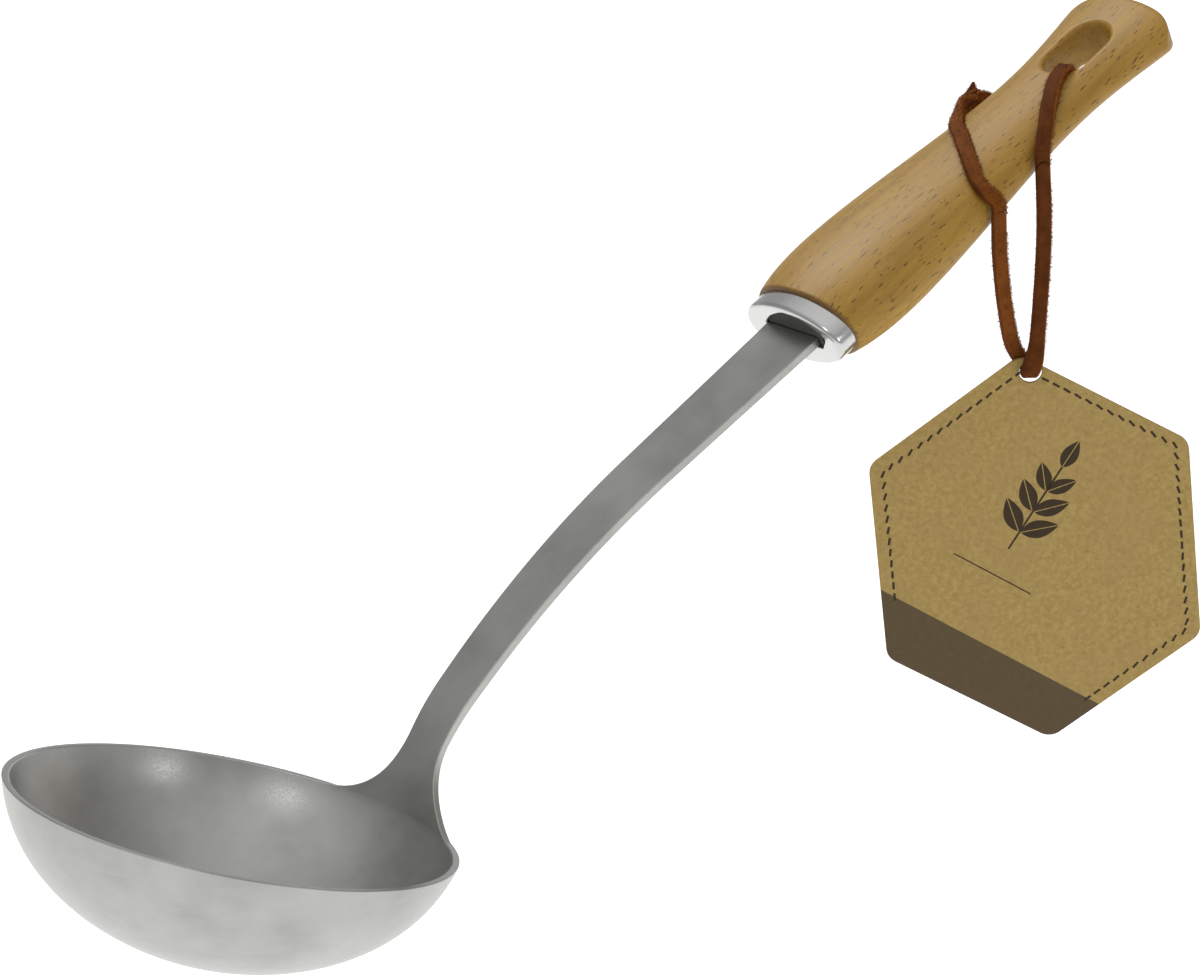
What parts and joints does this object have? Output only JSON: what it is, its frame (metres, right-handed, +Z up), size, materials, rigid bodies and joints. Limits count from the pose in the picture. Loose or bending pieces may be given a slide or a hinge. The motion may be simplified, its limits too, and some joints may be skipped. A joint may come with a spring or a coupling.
{
  "type": "soup ladle",
  "caption": "Deep-bowled stainless ladle with a bent flat arm, an oval ferrule and a shaped wooden handle, slotted for hanging, with a leather lace and card tag.",
  "frame": {"origin": "middle of the grip, on the handle's long axis, 45 mm above the ferrule joint", "axes": "+Z up with the ladle held as in use, +X from the bowl towards the handle, +Y across the ladle; the XZ plane halves it"},
  "size_m": [0.3065, 0.09, 0.1583],
  "materials": {
    "steel": "satin",
    "ferrule": "polished",
    "resin": "matte",
    "beech": "waxed",
    "lace": "suede",
    "card": "matte"
  },
  "bodies": {
    "ladle": {"bowl_and_arm": "steel", "ferrule": "ferrule", "tang_bed": "resin", "handle": "beech", "lace_strap": "lace", "lace_over": "lace", "lace_knot": "lace"},
    "hanging_loop": {"lace_drop": "lace"},
    "hanging_tag": {"tag": "card"}
  },
  "joints": [
    {"name": "lace_swing", "type": "hinge", "parent": "ladle", "child": "hanging_loop", "pos_m": [0.00732, -0.01588, 0.00175], "axis": [0.9255, 0.1153, 0.3607], "range_deg": [-60, 6]},
    {"name": "tag_swing", "type": "hinge", "parent": "hanging_loop", "child": "hanging_tag", "pos_m": [0.0091, -0.0155, -0.0392], "axis": [-0.7096, -0.7046, 0], "range_deg": [-30, 30]}
  ]
}
